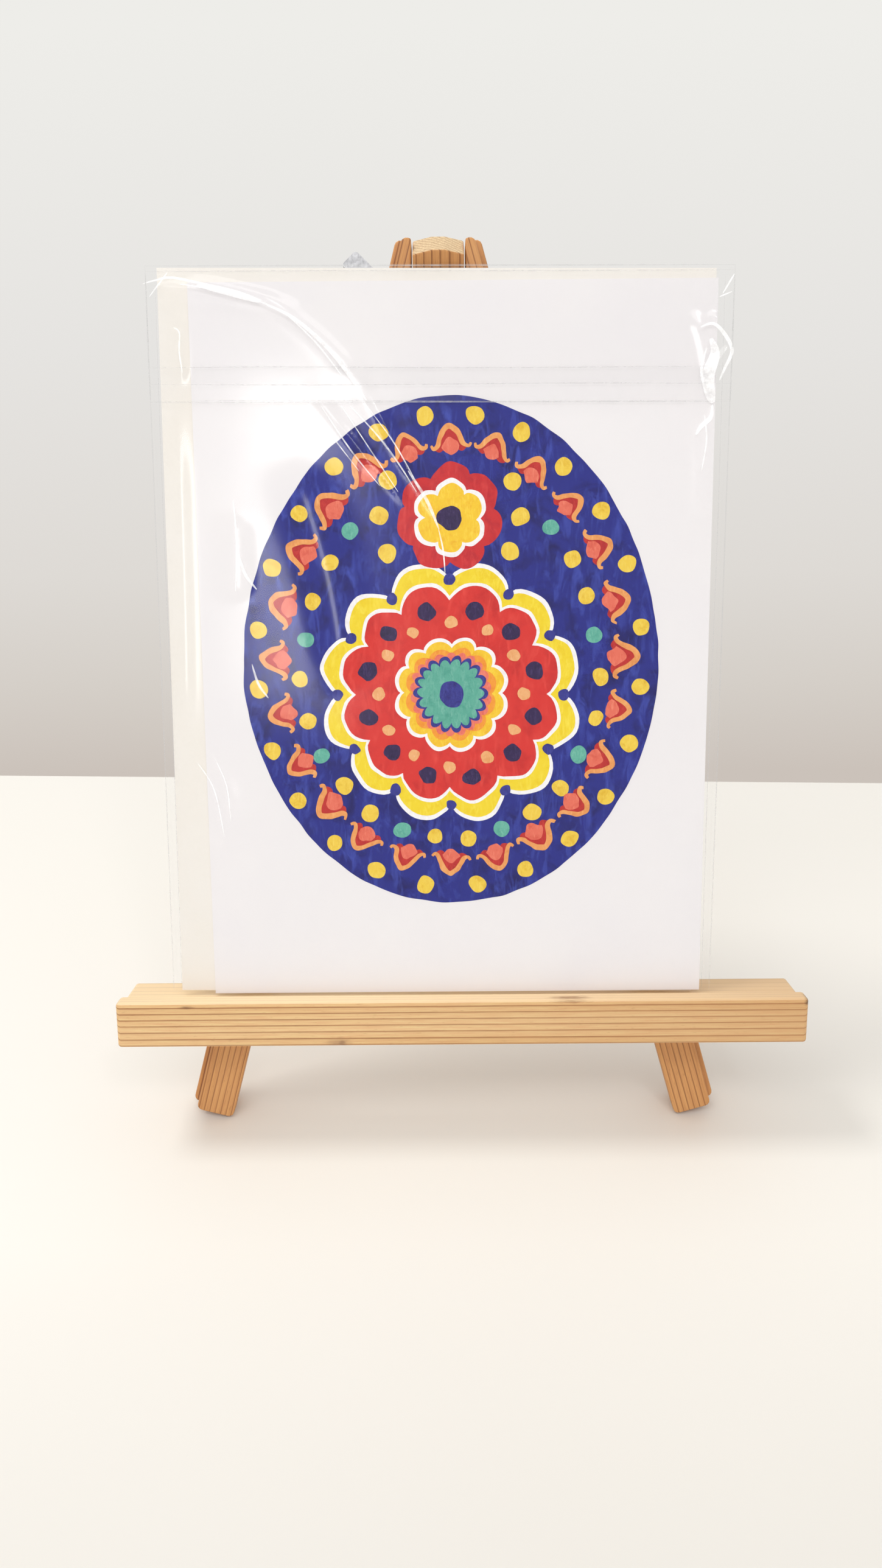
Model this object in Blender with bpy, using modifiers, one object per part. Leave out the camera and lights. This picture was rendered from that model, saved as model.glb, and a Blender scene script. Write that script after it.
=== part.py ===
"""Tabletop display easel of laminated pine strips, holding a greeting card in a clear sleeve.

The card is printed with a pysanka egg and shares the sleeve with its envelope. Units are metres and
+Z is up. The origin is at the bottom centre of the object's box: X runs along the ledge, and the
viewer stands on the -Y side.

Three tilted frames carry the pieces. In each of them X runs along the ledge, Z runs up the piece and
Y runs away from the viewer:
- easel frame: the plane of the two front legs, leaning back by LEG_LEAN
- rear frame: the third leg, turning about the bolt through the three leg tops
- pack frame: the sleeved card, which stands on the shelf and leans back a little more than the legs;
  the sleeve and the envelope each sit a fraction of a degree askew in it
"""

import math

import bmesh
import bpy
from mathutils import Matrix, Vector

MM = 0.001
GAP = 0.3 * MM  # clearance between two pieces that touch

# Front legs: each is two strips laminated face to face, the rear strip set outward.
LEG_LEAN = math.radians(12.0)
LEG_SPLAY = {"left": math.radians(15.0), "right": math.radians(16.1)}
LEG_OUTER_AT_TOP = 10.3 * MM  # from the centre line to the rear strip's outer top corner
LEG_TOP = 200.4 * MM  # that corner's height above the ledge's underside, along the easel plane
LEG_FOOT = 28.9 * MM  # from the ledge's underside down to the inner corner of the foot
STRIP_WIDTH = 10.3 * MM
STRIP_OFFSET = 1.7 * MM
FRONT_STRIP_THICK = 4.4 * MM
REAR_STRIP_THICK = 5.4 * MM
LEGS_X = -4.5 * MM  # the legs' centre line at their tops, from the ledge's centre
MITRE_X = 6.55 * MM  # inner faces of the leg tops, from the centre line
END_ROUND = 1.4 * MM
EDGE_ROUND = 0.35 * MM
FOOT_TRIM = 1.1 * MM  # worn flat under each front foot

# Rear leg, between the front legs' tops.
REAR_ANGLE = math.radians(16.0)  # forward tilt of its top, from the vertical
REAR_WIDTH = 12.4 * MM
REAR_THICK = 8.6 * MM
REAR_TOP = 11.8 * MM  # above the bolt, along the leg's rear face
REAR_TOP_BEVEL = math.radians(5.0)
REAR_CLIP_FLAT = 1.6 * MM  # half of the level part of its clipped top
REAR_CLIP_ANGLE = math.radians(13.0)

# Bolt through the three leg tops, with a wing nut on the left.
BOLT_U = 188.5 * MM
BOLT_Y = 6.6 * MM
BOLT_RADIUS = 1.95 * MM
BOLT_END = 19.5 * MM
SEAT_X = 11.4 * MM  # spot faces that seat the washers
SEAT_RADIUS = 4.7 * MM
WASHER_RADIUS = 4.0 * MM
WASHER_THICK = 0.8 * MM
HEX_FLATS = 7.0 * MM
HEX_THICK = 2.8 * MM
HUB_RADIUS = 3.9 * MM
HUB_TOP_RADIUS = 3.3 * MM
HUB_HEIGHT = 4.4 * MM
EAR_LENGTH = 8.2 * MM
EAR_WIDTH = 4.9 * MM
EAR_THICK = 1.6 * MM
EAR_BASE = 2.4 * MM
EAR_TURN = math.radians(-12.0)

# Ledge: an upright lip in front of a lower shelf board.
LIP_LENGTH = 178.6 * MM
LIP_HEIGHT = 12.2 * MM
LIP_THICK = 5.2 * MM
SHELF_LENGTH = 176.4 * MM
SHELF_HEIGHT = 11.3 * MM
SHELF_DEPTH = 11.9 * MM
SCREW_X = {"left": -60.8 * MM, "right": 55.8 * MM}  # ledge screws, through the overlap of both strips
SCREW_Z = 5.6 * MM
SCREW_LENGTH = 19.0 * MM
SCREW_RADIUS = 1.3 * MM
SCREW_HEAD_RADIUS = 2.8 * MM
SCREW_HEAD_HEIGHT = 1.7 * MM

# Pack: sleeve front, printed card, envelope and sleeve back, from the lip backward.
PACK_LEAN = math.radians(2.4)  # on top of the legs' lean
PACK_FRONT = 11.25 * MM  # the sleeve front's distance from the legs' front faces, at the shelf
FILM = 0.08 * MM
SLEEVE_WIDTH = 140.8 * MM
SLEEVE_HEIGHT = 180.6 * MM
SLEEVE_X = -5.2 * MM
SLEEVE_TURN = math.radians(0.35)  # the sleeve sits a little askew on the shelf
SLEEVE_RISE = 0.45 * MM
CARD_WIDTH = 127.0 * MM
CARD_HEIGHT = 177.1 * MM
CARD_X = -1.1 * MM
CARD_RISE = 0.6 * MM
CARD_LEAF = 0.3 * MM
CARD_INSIDE = 0.2 * MM
PRINT_THICK = 0.08 * MM
ENVELOPE_WIDTH = 134.0 * MM
ENVELOPE_HEIGHT = 180.1 * MM
ENVELOPE_X = -6.5 * MM
ENVELOPE_TURN = math.radians(0.5)
ENVELOPE_RISE = 0.65 * MM
ENVELOPE_THICK = 0.4 * MM
ENVELOPE_FLAP_DEPTH = 62.0 * MM
ENVELOPE_FLAP_TIP = 74.0 * MM
ENVELOPE_FLAP_THICK = 0.12 * MM
FLAP_LENGTH = 31.9 * MM
OVER_GAP = 0.25 * MM
ADHESIVE_TOP = 23.2 * MM  # below the sleeve's top fold
ADHESIVE_WIDTH = 4.2 * MM
FLAP_Y = -0.4 * MM
SLEEVE_FRONT_Y = 0.0
PRINT_Y = 0.2 * MM
CARD_Y = 0.33 * MM
ENVELOPE_Y = 1.28 * MM
ENVELOPE_FLAP_Y = 1.76 * MM
SLEEVE_BACK_Y = 2.0 * MM

# Painted egg on the card.
EGG_WIDTH = 104.2 * MM
EGG_HEIGHT = 126.4 * MM
EGG_CENTRE_Z = 87.4 * MM  # above the card's lower edge
EGG_X = -1.1 * MM  # from the card's centre
EGG_TAPER = 0.055
EGG_SQUEEZE = 0.028  # how much narrower the lower half is, midway down
EGG_POINTS = 96

FRONT_LEG_DEPTH = FRONT_STRIP_THICK + GAP + REAR_STRIP_THICK
FOOT_DROP = LEG_FOOT - STRIP_OFFSET * math.sin(LEG_SPLAY["left"])
EASEL_Z = FOOT_DROP * math.cos(LEG_LEAN) + FRONT_LEG_DEPTH * math.sin(LEG_LEAN) - FOOT_TRIM
LEDGE_FRONT = GAP + SHELF_DEPTH + GAP + LIP_THICK


def easel_matrix():
    """The easel frame: its origin is under the ledge, on the front legs' front faces."""
    bolt_height = BOLT_U * math.cos(LEG_LEAN) - BOLT_Y * math.sin(LEG_LEAN) + EASEL_Z
    rear_reach = BOLT_U * math.sin(LEG_LEAN) + BOLT_Y * math.cos(LEG_LEAN)
    rear_reach += bolt_height * math.tan(REAR_ANGLE) + REAR_THICK / 2 / math.cos(REAR_ANGLE)
    front_reach = LEDGE_FRONT * math.cos(LEG_LEAN)
    middle = (front_reach - rear_reach) / 2
    return Matrix.Translation((0, middle, EASEL_Z)) @ Matrix.Rotation(-LEG_LEAN, 4, "X")


EASEL = easel_matrix()
BOLT_CENTRE = EASEL @ Vector((LEGS_X, BOLT_Y, BOLT_U))
REAR = Matrix.Translation(BOLT_CENTRE) @ Matrix.Rotation(REAR_ANGLE, 4, "X")
PACK_ORIGIN = Vector((0, -PACK_FRONT, SHELF_HEIGHT + GAP))
PACK = EASEL @ Matrix.Translation(PACK_ORIGIN) @ Matrix.Rotation(-PACK_LEAN, 4, "X")
SLEEVE_ORIGIN = Vector((SLEEVE_X, 0, SLEEVE_RISE))
SLEEVE = PACK @ Matrix.Translation(SLEEVE_ORIGIN) @ Matrix.Rotation(SLEEVE_TURN, 4, "Y")
ENVELOPE_ORIGIN = Vector((ENVELOPE_X, 0, ENVELOPE_RISE))
ENVELOPE = PACK @ Matrix.Translation(ENVELOPE_ORIGIN) @ Matrix.Rotation(ENVELOPE_TURN, 4, "Y")
FLAP_AXIS = Vector((0, FLAP_Y + FILM / 2, SLEEVE_HEIGHT + OVER_GAP + FILM / 2))
FLAP = SLEEVE @ Matrix.Translation(FLAP_AXIS)


def clear_scene():
    for obj in list(bpy.data.objects):
        bpy.data.objects.remove(obj, do_unlink=True)


def new_collection(name):
    found = bpy.data.collections.new(name)
    bpy.context.scene.collection.children.link(found)
    return found


def new_material(name, colour, roughness, metallic=0.0, alpha=1.0):
    made = bpy.data.materials.new(name)
    made.use_nodes = True
    shader = made.node_tree.nodes["Principled BSDF"]
    shader.inputs["Base Color"].default_value = (*colour, 1.0)
    shader.inputs["Roughness"].default_value = roughness
    shader.inputs["Metallic"].default_value = metallic
    shader.inputs["Alpha"].default_value = alpha
    return made


def new_frame(name, matrix):
    frame = bpy.data.objects.new(name, None)
    PARTS.objects.link(frame)
    frame.matrix_world = matrix
    return frame


def place(mesh, name, frame, material, collection=None):
    """An object for this mesh, whose coordinates are in the frame's own axes."""
    obj = bpy.data.objects.new(name, mesh)
    (collection or PARTS).objects.link(obj)
    obj.parent = frame
    if material:
        mesh.materials.append(material)
    return obj


def box_mesh(name, low, high):
    """A box between two corners."""
    low, high = Vector(low), Vector(high)
    bm = bmesh.new()
    bmesh.ops.create_cube(bm, size=1.0)
    bmesh.ops.scale(bm, vec=high - low, verts=bm.verts)
    bmesh.ops.translate(bm, vec=(low + high) / 2, verts=bm.verts)
    return finish_mesh(bm, name)


def finish_mesh(bm, name):
    bmesh.ops.recalc_face_normals(bm, faces=bm.faces)
    mesh = bpy.data.meshes.new(name)
    bm.to_mesh(mesh)
    bm.free()
    return mesh


def cut_plane(bm, point, normal):
    """Removes what lies on the side that the normal points to, and closes the cut."""
    geometry = bm.verts[:] + bm.edges[:] + bm.faces[:]
    cut = bmesh.ops.bisect_plane(bm, geom=geometry, plane_co=point, plane_no=normal, clear_outer=True)
    edges = [item for item in cut["geom_cut"] if isinstance(item, bmesh.types.BMEdge)]
    bmesh.ops.contextual_create(bm, geom=edges)
    bmesh.ops.recalc_face_normals(bm, faces=bm.faces)


def cylinder_mesh(name, radius, start, end, sides=24, far_radius=None):
    """A cylinder or cone with its ends at two points."""
    start, end = Vector(start), Vector(end)
    far_radius = radius if far_radius is None else far_radius
    bm = bmesh.new()
    bmesh.ops.create_cone(
        bm, cap_ends=True, segments=sides, radius1=radius, radius2=far_radius, depth=(end - start).length
    )
    turn = Vector((0, 0, 1)).rotation_difference(end - start).to_matrix().to_4x4()
    bmesh.ops.transform(bm, matrix=Matrix.Translation((start + end) / 2) @ turn, verts=bm.verts)
    return finish_mesh(bm, name)


def turned(name, profile, matrix, frame, material, steps=24):
    """A profile of (radius, height) pairs, outer side downward, turned about the matrix's Z axis."""
    mesh = bpy.data.meshes.new(name)
    points = [(radius, 0.0, height) for radius, height in profile]
    closed = profile[0][0] > 0
    edges = [(i, i + 1) for i in range(len(points) - 1)]
    if closed:
        edges.append((len(points) - 1, 0))
    mesh.from_pydata(points, edges, [])
    obj = place(mesh, name, frame, material)
    obj.matrix_local = matrix
    screw = obj.modifiers.new("Turn", "SCREW")
    screw.steps = steps
    screw.render_steps = steps
    screw.use_merge_vertices = True
    screw.merge_threshold = 1e-5
    return obj


def add_bevel(obj, width, segments=2):
    bevel = obj.modifiers.new("Eased edges", "BEVEL")
    bevel.width = width
    bevel.segments = segments
    bevel.limit_method = "ANGLE"
    bevel.angle_limit = math.radians(35)


def add_boolean(obj, other, operation):
    boolean = obj.modifiers.new(f"{operation.title()} {other.name}", "BOOLEAN")
    boolean.operation = operation
    boolean.object = other


def helper(mesh, name, frame):
    """A cutter, or a piece to be joined, which isn't a part itself."""
    obj = place(mesh, name, frame, None, HELPERS)
    obj.hide_render = True
    obj.display_type = "WIRE"
    return obj


def smooth(obj):
    obj.data.shade_smooth()
    obj.data.set_sharp_from_angle(angle=math.radians(35))


def leg_strip(side, label, offset, front, thick):
    """One strip of a front leg, its outer face set outward by the offset, with both ends cut square."""
    splay = LEG_SPLAY[side]
    axis = Vector((-math.sin(splay), 0, math.cos(splay)))
    outer_top = LEG_OUTER_AT_TOP - (STRIP_OFFSET - offset) / math.cos(splay)
    front_top = LEG_OUTER_AT_TOP - STRIP_OFFSET / math.cos(splay)
    foot_x = front_top + (LEG_TOP + LEG_FOOT) * math.tan(splay) - STRIP_WIDTH / math.cos(splay)
    bm = bmesh.new()
    bmesh.ops.create_cube(bm, size=1.0)
    length = 2.2 * (LEG_TOP + LEG_FOOT)
    bmesh.ops.scale(bm, vec=(STRIP_WIDTH, thick, length), verts=bm.verts)
    bmesh.ops.translate(bm, vec=(-STRIP_WIDTH / 2, front + thick / 2, 0), verts=bm.verts)
    bmesh.ops.rotate(bm, matrix=Matrix.Rotation(-splay, 3, "Y"), verts=bm.verts)
    bmesh.ops.translate(bm, vec=(outer_top, 0, LEG_TOP), verts=bm.verts)
    cut_plane(bm, (LEG_OUTER_AT_TOP, 0, LEG_TOP), axis)
    cut_plane(bm, (foot_x, 0, -LEG_FOOT), -axis)
    cut_plane(bm, (MITRE_X, 0, 0), (-1, 0, 0))
    round_ends(bm)
    down = EASEL.to_3x3().inverted() @ Vector((0, 0, -1))
    cut_plane(bm, EASEL.inverted() @ Vector((0, 0, 0)), down)
    if side == "left":
        bmesh.ops.scale(bm, vec=(-1, 1, 1), verts=bm.verts)
    bmesh.ops.translate(bm, vec=(LEGS_X, 0, 0), verts=bm.verts)
    mesh = finish_mesh(bm, f"{side}_leg_{label}_strip")
    obj = place(mesh, mesh.name, EASEL_FRAME, PINE)
    add_bevel(obj, EDGE_ROUND)
    return obj


def round_ends(bm):
    """Rounds a strip's foot corners and the outer corner of its top, seen from the front."""
    across = []
    for edge in bm.edges:
        first, second = (vert.co for vert in edge.verts)
        if abs(first.x - second.x) < 1e-7 and abs(first.z - second.z) < 1e-7:
            across.append(edge)
    ends = [edge for edge in across if edge.verts[0].co.z < 0]
    ends.append(max(across, key=lambda edge: edge.verts[0].co.z))
    bmesh.ops.bevel(bm, geom=ends, offset=END_ROUND, segments=3, profile=0.5, affect="EDGES")


def make_front_legs():
    rear_front = FRONT_STRIP_THICK + GAP
    bolt_cutter = helper(
        cylinder_mesh(
            "bolt_hole_front",
            BOLT_RADIUS + GAP,
            (LEGS_X - 30 * MM, BOLT_Y, BOLT_U),
            (LEGS_X + 30 * MM, BOLT_Y, BOLT_U),
        ),
        "bolt_hole_front",
        EASEL_FRAME,
    )
    for side, sign in (("left", -1), ("right", 1)):
        seat = (LEGS_X + sign * SEAT_X, BOLT_Y, BOLT_U)
        beyond = (LEGS_X + sign * (SEAT_X + 12 * MM), BOLT_Y, BOLT_U)
        seat_cutter = helper(
            cylinder_mesh(f"seat_{side}", SEAT_RADIUS, seat, beyond, sides=32), f"seat_{side}", EASEL_FRAME
        )
        screw_x = SCREW_X[side]
        screw_cutter = helper(
            cylinder_mesh(
                f"screw_hole_{side}",
                SCREW_RADIUS + GAP,
                (screw_x, FRONT_LEG_DEPTH + 1 * MM, SCREW_Z),
                (screw_x, -SHELF_DEPTH * 0.8, SCREW_Z),
            ),
            f"screw_hole_{side}",
            EASEL_FRAME,
        )
        sink_cutter = helper(
            cylinder_mesh(
                f"countersink_{side}",
                SCREW_HEAD_RADIUS + GAP,
                (screw_x, FRONT_LEG_DEPTH + 0.01 * MM, SCREW_Z),
                (screw_x, FRONT_LEG_DEPTH - SCREW_HEAD_HEIGHT - GAP, SCREW_Z),
                far_radius=SCREW_RADIUS,
            ),
            f"countersink_{side}",
            EASEL_FRAME,
        )
        front = leg_strip(side, "front", 0.0, 0.0, FRONT_STRIP_THICK)
        rear = leg_strip(side, "rear", STRIP_OFFSET, rear_front, REAR_STRIP_THICK)
        for strip in (front, rear):
            add_boolean(strip, bolt_cutter, "DIFFERENCE")
            add_boolean(strip, screw_cutter, "DIFFERENCE")
            add_boolean(strip, seat_cutter, "DIFFERENCE")
        add_boolean(rear, sink_cutter, "DIFFERENCE")
        make_ledge_screw(side, screw_x)


def make_ledge_screw(side, screw_x):
    """A countersunk wood screw from behind the leg into the shelf board."""
    profile = [
        (0.0, 0.0),
        (SCREW_HEAD_RADIUS, 0.0),
        (SCREW_RADIUS, -SCREW_HEAD_HEIGHT),
        (SCREW_RADIUS, -SCREW_LENGTH + 3 * MM),
        (0.0, -SCREW_LENGTH),
    ]
    head = Matrix.Translation((screw_x, FRONT_LEG_DEPTH - GAP, SCREW_Z))
    turned(f"ledge_screw_{side}", profile, head @ Matrix.Rotation(math.radians(-90), 4, "X"), EASEL_FRAME, STEEL)


def make_ledge():
    shelf_front = -(GAP + SHELF_DEPTH)
    shelf = place(
        box_mesh(
            "ledge_shelf",
            (-SHELF_LENGTH / 2, shelf_front, 0.0),
            (SHELF_LENGTH / 2, -GAP, SHELF_HEIGHT),
        ),
        "ledge_shelf",
        EASEL_FRAME,
        PINE,
    )
    add_bevel(shelf, 0.8 * MM)
    for side in ("left", "right"):
        add_boolean(shelf, bpy.data.objects[f"screw_hole_{side}"], "DIFFERENCE")
    lip = place(
        box_mesh(
            "ledge_lip",
            (-LIP_LENGTH / 2, -LEDGE_FRONT, 0.0),
            (LIP_LENGTH / 2, -LEDGE_FRONT + LIP_THICK, LIP_HEIGHT),
        ),
        "ledge_lip",
        EASEL_FRAME,
        PINE,
    )
    add_bevel(lip, 0.9 * MM, segments=3)


def make_rear_leg():
    """The third leg. Its top is clipped at both corners, and its foot is cut level."""
    length = BOLT_CENTRE.z / math.cos(REAR_ANGLE) + REAR_THICK
    bm = bmesh.new()
    bmesh.ops.create_cube(bm, size=1.0)
    bmesh.ops.scale(bm, vec=(REAR_WIDTH, REAR_THICK, 2 * length), verts=bm.verts)
    top = Vector((0, REAR_THICK / 2, REAR_TOP))
    cut_plane(bm, top, (0, -math.sin(REAR_TOP_BEVEL), math.cos(REAR_TOP_BEVEL)))
    for sign in (-1, 1):
        start = top + Vector((sign * REAR_CLIP_FLAT, 0, 0))
        clip = Vector((sign * math.sin(REAR_CLIP_ANGLE), -math.sin(REAR_TOP_BEVEL), math.cos(REAR_CLIP_ANGLE)))
        cut_plane(bm, start, clip)
    ground = REAR.inverted() @ Vector((0, 0, 0))
    cut_plane(bm, ground, REAR.to_3x3().inverted() @ Vector((0, 0, -1)))
    leg = place(finish_mesh(bm, "rear_leg"), "rear_leg", REAR_FRAME, PINE)
    add_bevel(leg, EDGE_ROUND)
    hole = helper(
        cylinder_mesh("bolt_hole_rear", BOLT_RADIUS + GAP, (-20 * MM, 0, 0), (20 * MM, 0, 0)),
        "bolt_hole_rear",
        REAR_FRAME,
    )
    add_boolean(leg, hole, "DIFFERENCE")


def make_bolt():
    """A hexagon-head bolt from the right, with a washer under its head and one under the wing nut."""
    head_x = SEAT_X + GAP + WASHER_THICK + GAP
    centre = Vector((LEGS_X, BOLT_Y, BOLT_U))
    bolt = place(
        cylinder_mesh(
            "pivot_bolt",
            BOLT_RADIUS,
            centre - Vector((BOLT_END, 0, 0)),
            centre + Vector((head_x + HEX_THICK / 2, 0, 0)),
        ),
        "pivot_bolt",
        EASEL_FRAME,
        STEEL,
    )
    head = helper(
        cylinder_mesh(
            "hex_head",
            HEX_FLATS / math.sqrt(3),
            centre + Vector((head_x, 0, 0)),
            centre + Vector((head_x + HEX_THICK, 0, 0)),
            sides=6,
        ),
        "hex_head",
        EASEL_FRAME,
    )
    add_boolean(bolt, head, "UNION")
    ring = [
        (BOLT_RADIUS + GAP, WASHER_THICK),
        (WASHER_RADIUS, WASHER_THICK),
        (WASHER_RADIUS, 0.0),
        (BOLT_RADIUS + GAP, 0.0),
    ]
    for side, sign in (("left", -1), ("right", 1)):
        outward = Matrix.Rotation(sign * math.radians(90), 4, "Y")
        seat = Matrix.Translation(centre + Vector((sign * (SEAT_X + GAP), 0, 0)))
        turned(f"washer_{side}", ring, seat @ outward, EASEL_FRAME, STEEL, steps=32)


def make_wing_nut():
    """A wing nut whose two ears are flat tabs, flared outward at 45 degrees from a tapered hub."""
    bore = BOLT_RADIUS + GAP
    hub = [(bore, HUB_HEIGHT), (HUB_TOP_RADIUS, HUB_HEIGHT), (HUB_RADIUS, 0.0), (bore, 0.0)]
    nut = turned("wing_nut", hub, Matrix.Identity(4), NUT_FRAME, STEEL, steps=32)
    reach = EAR_LENGTH + 1.6 * MM
    for label, sign in (("upper", 1), ("lower", -1)):
        bm = bmesh.new()
        bmesh.ops.create_cube(bm, size=1.0)
        bmesh.ops.scale(bm, vec=(EAR_THICK, EAR_WIDTH, EAR_LENGTH), verts=bm.verts)
        corners = [edge for edge in bm.edges if abs(edge.verts[0].co.x - edge.verts[1].co.x) > EAR_THICK / 2]
        bmesh.ops.bevel(bm, geom=corners, offset=0.8 * MM, segments=3, profile=0.5, affect="EDGES")
        bmesh.ops.translate(bm, vec=(0, 0, reach - EAR_LENGTH / 2), verts=bm.verts)
        bmesh.ops.rotate(bm, matrix=Matrix.Rotation(-sign * math.radians(45), 3, "X"), verts=bm.verts)
        bmesh.ops.translate(bm, vec=(0, sign * 1.4 * MM, EAR_BASE), verts=bm.verts)
        ear = helper(finish_mesh(bm, f"ear_{label}"), f"ear_{label}", NUT_FRAME)
        add_boolean(nut, ear, "UNION")
    hole = helper(
        cylinder_mesh("nut_hole", bore, (0, 0, -2 * MM), (0, 0, 14 * MM), sides=32), "nut_hole", NUT_FRAME
    )
    add_boolean(nut, hole, "DIFFERENCE")


def sheet(name, frame, material, centre_x, width, low_z, high_z, front_y, thick):
    """A flat sheet, upright in its frame."""
    low = (centre_x - width / 2, front_y, low_z)
    high = (centre_x + width / 2, front_y + thick, high_z)
    return place(box_mesh(name, low, high), name, frame, material)


def make_card():
    """A greeting card folded along its left edge, so it is open on the other three sides."""
    top = CARD_RISE + CARD_HEIGHT
    thick = 2 * CARD_LEAF + CARD_INSIDE
    card = sheet("greeting_card", PACK_FRAME, CARDSTOCK, CARD_X, CARD_WIDTH, CARD_RISE, top, CARD_Y, thick)
    inside = helper(
        box_mesh(
            "card_inside",
            (CARD_X - CARD_WIDTH / 2 + 0.5 * MM, CARD_Y + CARD_LEAF, CARD_RISE - 2 * MM),
            (CARD_X + CARD_WIDTH / 2 + 2 * MM, CARD_Y + CARD_LEAF + CARD_INSIDE, top + 2 * MM),
        ),
        "card_inside",
        PACK_FRAME,
    )
    add_boolean(card, inside, "DIFFERENCE")


def egg_outline():
    """Points of the egg: an ellipse whose width shrinks toward the top."""
    points = []
    for step in range(EGG_POINTS):
        angle = 2 * math.pi * step / EGG_POINTS
        half_width = EGG_WIDTH / 2 * (1 - EGG_TAPER * math.sin(angle))
        if math.sin(angle) < 0:
            half_width *= 1 - EGG_SQUEEZE * math.sin(2 * angle) ** 2
        points.append((half_width * math.cos(angle), EGG_HEIGHT / 2 * math.sin(angle)))
    return points


def make_egg_print():
    """The painted egg, a layer of ink on the card's front."""
    curve = bpy.data.curves.new("egg_print", "CURVE")
    curve.dimensions = "2D"
    curve.fill_mode = "BOTH"
    curve.extrude = PRINT_THICK / 2
    points = egg_outline()
    spline = curve.splines.new("POLY")
    spline.points.add(len(points) - 1)
    spline.use_cyclic_u = True
    for point, (x, z) in zip(spline.points, points):
        point.co = (x, z, 0.0, 1.0)
    egg = place(curve, "egg_print", PACK_FRAME, EGG_INK)
    centre = (CARD_X + EGG_X, PRINT_Y + PRINT_THICK / 2, CARD_RISE + EGG_CENTRE_Z)
    egg.matrix_local = Matrix.Translation(centre) @ Matrix.Rotation(math.radians(90), 4, "X")


def make_envelope():
    sheet(
        "envelope_body",
        ENVELOPE_FRAME,
        ENVELOPE_PAPER,
        0,
        ENVELOPE_WIDTH,
        0,
        ENVELOPE_HEIGHT,
        ENVELOPE_Y,
        ENVELOPE_THICK,
    )
    bm = bmesh.new()
    bmesh.ops.create_cube(bm, size=1.0)
    bmesh.ops.scale(bm, vec=(ENVELOPE_WIDTH, ENVELOPE_FLAP_THICK, ENVELOPE_FLAP_DEPTH), verts=bm.verts)
    for vert in bm.verts:
        if vert.co.z < 0:
            vert.co.x *= ENVELOPE_FLAP_TIP / ENVELOPE_WIDTH
    middle_y = ENVELOPE_FLAP_Y + ENVELOPE_FLAP_THICK / 2
    middle_z = ENVELOPE_HEIGHT - ENVELOPE_FLAP_DEPTH / 2
    bmesh.ops.translate(bm, vec=(0, middle_y, middle_z), verts=bm.verts)
    place(finish_mesh(bm, "envelope_flap"), "envelope_flap", ENVELOPE_FRAME, ENVELOPE_PAPER)


def make_sleeve():
    """Two film panels around the card and envelope. The rear one runs over the top to the flap."""
    width, height = SLEEVE_WIDTH, SLEEVE_HEIGHT
    over = height + OVER_GAP
    sheet("sleeve_front_panel", SLEEVE_FRAME, CLEAR_FILM, 0, width, 0, height, SLEEVE_FRONT_Y, FILM)
    rear = sheet("sleeve_rear_panel", SLEEVE_FRAME, CLEAR_FILM, 0, width, 0, over + FILM, SLEEVE_BACK_Y, FILM)
    top = helper(
        box_mesh(
            "sleeve_top_fold",
            (-width / 2, FLAP_Y + FILM + 0.15 * MM, over),
            (width / 2, SLEEVE_BACK_Y + FILM, over + FILM),
        ),
        "sleeve_top_fold",
        SLEEVE_FRAME,
    )
    add_boolean(rear, top, "UNION")
    sheet("sleeve_flap", FLAP_FRAME, CLEAR_FILM, 0, width, -FLAP_LENGTH, FILM / 2, -FILM / 2, FILM)
    sheet(
        "adhesive_strip",
        FLAP_FRAME,
        ADHESIVE,
        0,
        width - 4 * MM,
        -ADHESIVE_TOP - ADHESIVE_WIDTH,
        -ADHESIVE_TOP,
        FILM / 2 + 0.05 * MM,
        0.08 * MM,
    )


clear_scene()
PARTS = new_collection("pysanka_card_on_easel")
HELPERS = new_collection("cutters_and_joined_pieces")

PINE = new_material("pine", (0.62, 0.40, 0.20), 0.55)
STEEL = new_material("zinc_plated_steel", (0.55, 0.56, 0.57), 0.35, metallic=1.0)
CARDSTOCK = new_material("white_cardstock", (0.86, 0.84, 0.86), 0.5)
EGG_INK = new_material("egg_ink", (0.03, 0.03, 0.20), 0.4)
ENVELOPE_PAPER = new_material("cream_paper", (0.84, 0.80, 0.74), 0.7)
CLEAR_FILM = new_material("clear_film", (0.9, 0.9, 0.92), 0.08, alpha=0.15)
ADHESIVE = new_material("clear_adhesive", (0.85, 0.85, 0.85), 0.3, alpha=0.25)

EASEL_FRAME = new_frame("easel_frame", EASEL)
REAR_FRAME = new_frame("rear_frame", REAR)
PACK_FRAME = new_frame("pack_frame", PACK)
SLEEVE_FRAME = new_frame("sleeve_frame", SLEEVE)
ENVELOPE_FRAME = new_frame("envelope_frame", ENVELOPE)
FLAP_FRAME = new_frame("flap_frame", FLAP)
NUT_SEAT = Vector((LEGS_X - (SEAT_X + GAP + WASHER_THICK + GAP), BOLT_Y, BOLT_U))
NUT = EASEL @ Matrix.Translation(NUT_SEAT) @ Matrix.Rotation(EAR_TURN, 4, "X") @ Matrix.Rotation(
    math.radians(-90), 4, "Y"
) @ Matrix.Rotation(math.radians(90), 4, "Z")
NUT_FRAME = new_frame("nut_frame", NUT)

make_front_legs()
make_ledge()
make_rear_leg()
make_bolt()
make_wing_nut()
make_card()
make_egg_print()
make_envelope()
make_sleeve()
for part in PARTS.objects:
    if part.type == "MESH":
        smooth(part)
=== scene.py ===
"""Looks for the sleeved greeting card on its tabletop easel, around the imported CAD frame."""

import math

import bmesh
import bpy
import numpy as np
from mathutils import Matrix, Vector, noise


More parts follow.
